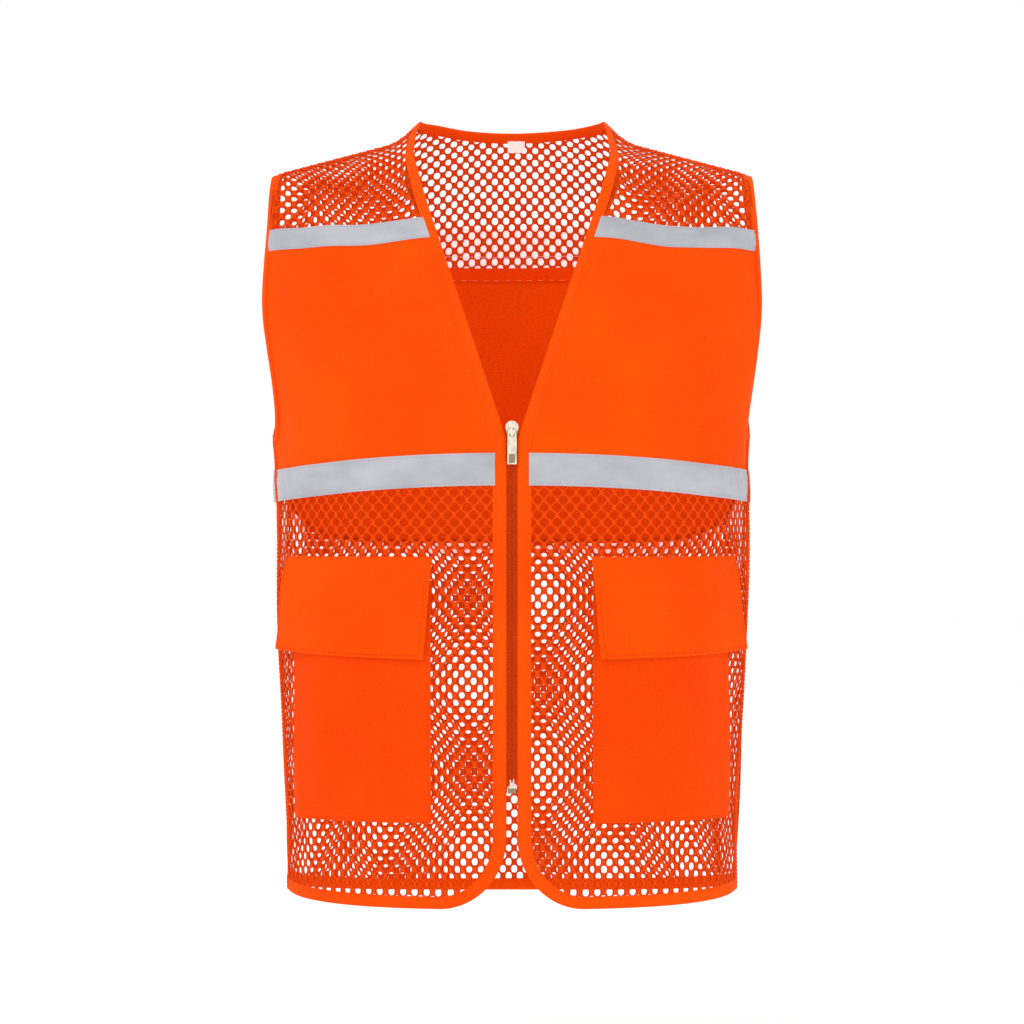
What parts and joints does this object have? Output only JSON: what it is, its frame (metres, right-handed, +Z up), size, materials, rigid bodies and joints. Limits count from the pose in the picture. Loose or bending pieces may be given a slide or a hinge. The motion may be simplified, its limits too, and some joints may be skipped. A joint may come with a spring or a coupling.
{
  "type": "high visibility vest",
  "caption": "Sleeveless orange safety vest with a V neck, front zip, mesh yokes and body, woven chest panels, reflective tapes and flap pockets.",
  "frame": {"origin": "below the neck on the wearer's middle plane, level with the lowest point of the back hem, where the wearer's body comes in", "axes": "+Z up, +X to the wearer's left, -Y to the wearer's front"},
  "size_m": [0.4266, 0.2882, 0.6785],
  "materials": {
    "mesh_fabric": "open warp-knitted polyester mesh, soft sheen",
    "woven_fabric": "plain woven polyester, matt",
    "binding": "folded bias binding, satin",
    "reflective_tape": "grey glass bead tape with stitched edges",
    "zip_tape": "woven zip tape",
    "zip_coil": "nylon coil, semi-gloss",
    "zip_metal": "pale polished metal",
    "hook_and_loop": "brushed hook and loop",
    "label": "blank white satin label"
  },
  "bodies": {
    "root": {"back_chest_panel": "woven_fabric", "back_lower_mesh": "mesh_fabric", "back_yoke_mesh": "mesh_fabric", "back_upper_tape": "reflective_tape", "back_lower_tape": "reflective_tape", "back_hem_binding": "binding", "neck_binding": "binding", "neck_label": "label", "left_front_yoke_mesh": "mesh_fabric", "left_shoulder_seam": "woven_fabric", "left_armhole_binding": "binding", "left_side_seam": "woven_fabric", "right_front_yoke_mesh": "mesh_fabric", "right_shoulder_seam": "woven_fabric", "right_armhole_binding": "binding", "right_side_seam": "woven_fabric"},
    "front_right": {"right_chest_panel": "woven_fabric", "right_lower_mesh": "mesh_fabric", "right_upper_tape": "reflective_tape", "right_lower_tape": "reflective_tape", "right_front_binding": "binding", "right_front_armhole_binding": "binding", "right_pocket": "woven_fabric", "right_pocket_loop_patch": "hook_and_loop", "right_zip_tape": "zip_tape", "right_zip_coil": "zip_coil", "right_top_stop": "zip_metal", "retainer_box": "zip_metal"},
    "front_left": {"left_chest_panel": "woven_fabric", "left_lower_mesh": "mesh_fabric", "left_upper_tape": "reflective_tape", "left_lower_tape": "reflective_tape", "left_front_binding": "binding", "left_front_armhole_binding": "binding", "left_pocket": "woven_fabric", "left_pocket_loop_patch": "hook_and_loop", "left_zip_tape": "zip_tape", "left_zip_coil": "zip_coil", "left_top_stop": "zip_metal", "insertion_pin": "zip_metal"},
    "flap_right": {"right_pocket_flap": "woven_fabric", "right_flap_hook_patch": "hook_and_loop"},
    "flap_left": {"left_pocket_flap": "woven_fabric", "left_flap_hook_patch": "hook_and_loop"},
    "slider": {"zip_slider": "zip_metal"},
    "pull": {"zip_pull": "zip_metal"}
  },
  "joints": [
    {"name": "front_right_open", "type": "hinge", "parent": "root", "child": "front_right", "pos_m": [-0.2016, -0.0341, 0.3], "axis": [0, 0, -1], "range_deg": [0, 35]},
    {"name": "front_left_open", "type": "hinge", "parent": "root", "child": "front_left", "pos_m": [0.2016, -0.0341, 0.3], "axis": [0, 0, 1], "range_deg": [0, 35]},
    {"name": "zip_slide", "type": "slide", "parent": "front_right", "child": "slider", "axis": [0, 0, -1], "range_m": [0, 0.283]},
    {"name": "pull_flip", "type": "hinge", "parent": "slider", "child": "pull", "pos_m": [0, -0.1496, 0.406], "axis": [-1, 0, 0], "range_deg": [0, 170]},
    {"name": "flap_right_lift", "type": "hinge", "parent": "front_right", "child": "flap_right", "pos_m": [-0.133, -0.1225, 0.303], "axis": [-0.873, 0.4877, 0], "range_deg": [0, 150]},
    {"name": "flap_left_lift", "type": "hinge", "parent": "front_left", "child": "flap_left", "pos_m": [0.133, -0.1225, 0.303], "axis": [-0.873, -0.4877, 0], "range_deg": [0, 150]}
  ],
  "couplings": [
    {"joint": "front_left_open", "follows": "front_right_open", "ratio": 1},
    {"joint": "zip_slide", "follows": "front_right_open", "m_per_rad": 0.4632}
  ]
}
